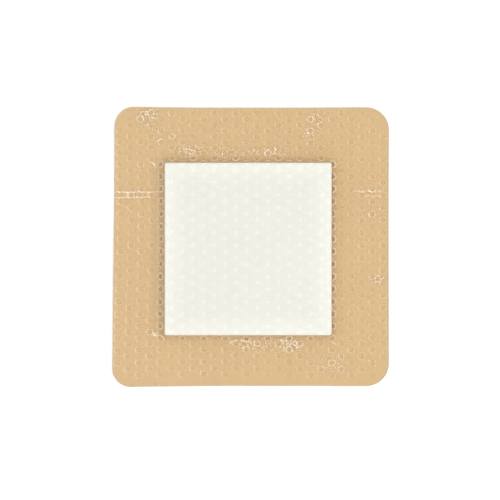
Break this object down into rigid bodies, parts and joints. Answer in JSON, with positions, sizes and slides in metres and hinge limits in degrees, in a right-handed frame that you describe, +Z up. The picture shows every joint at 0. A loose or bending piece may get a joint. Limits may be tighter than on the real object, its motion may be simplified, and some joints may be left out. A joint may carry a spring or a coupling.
{
  "type": "bordered silicone foam dressing",
  "caption": "Square absorbent foam pad on a rounded backing film, under one perforated clear silicone layer that sticks down round it as a border.",
  "frame": {"origin": "on the resting face, under the middle of the outline", "axes": "+Z up from the backing film to the wound side, +X along the slightly shorter side, +Y along the longer side"},
  "size_m": [0.0996, 0.101, 0.0046],
  "materials": {
    "film": "thin skin-toned polyurethane film, soft satin",
    "foam": "fine open-cell polyurethane foam, off-white, matt",
    "silicone": "clear soft silicone gel sheet, perforated, wet-looking gloss"
  },
  "bodies": {
    "root": {"backing_film": "film", "foam_pad": "foam", "contact_layer": "silicone"}
  },
  "joints": []
}
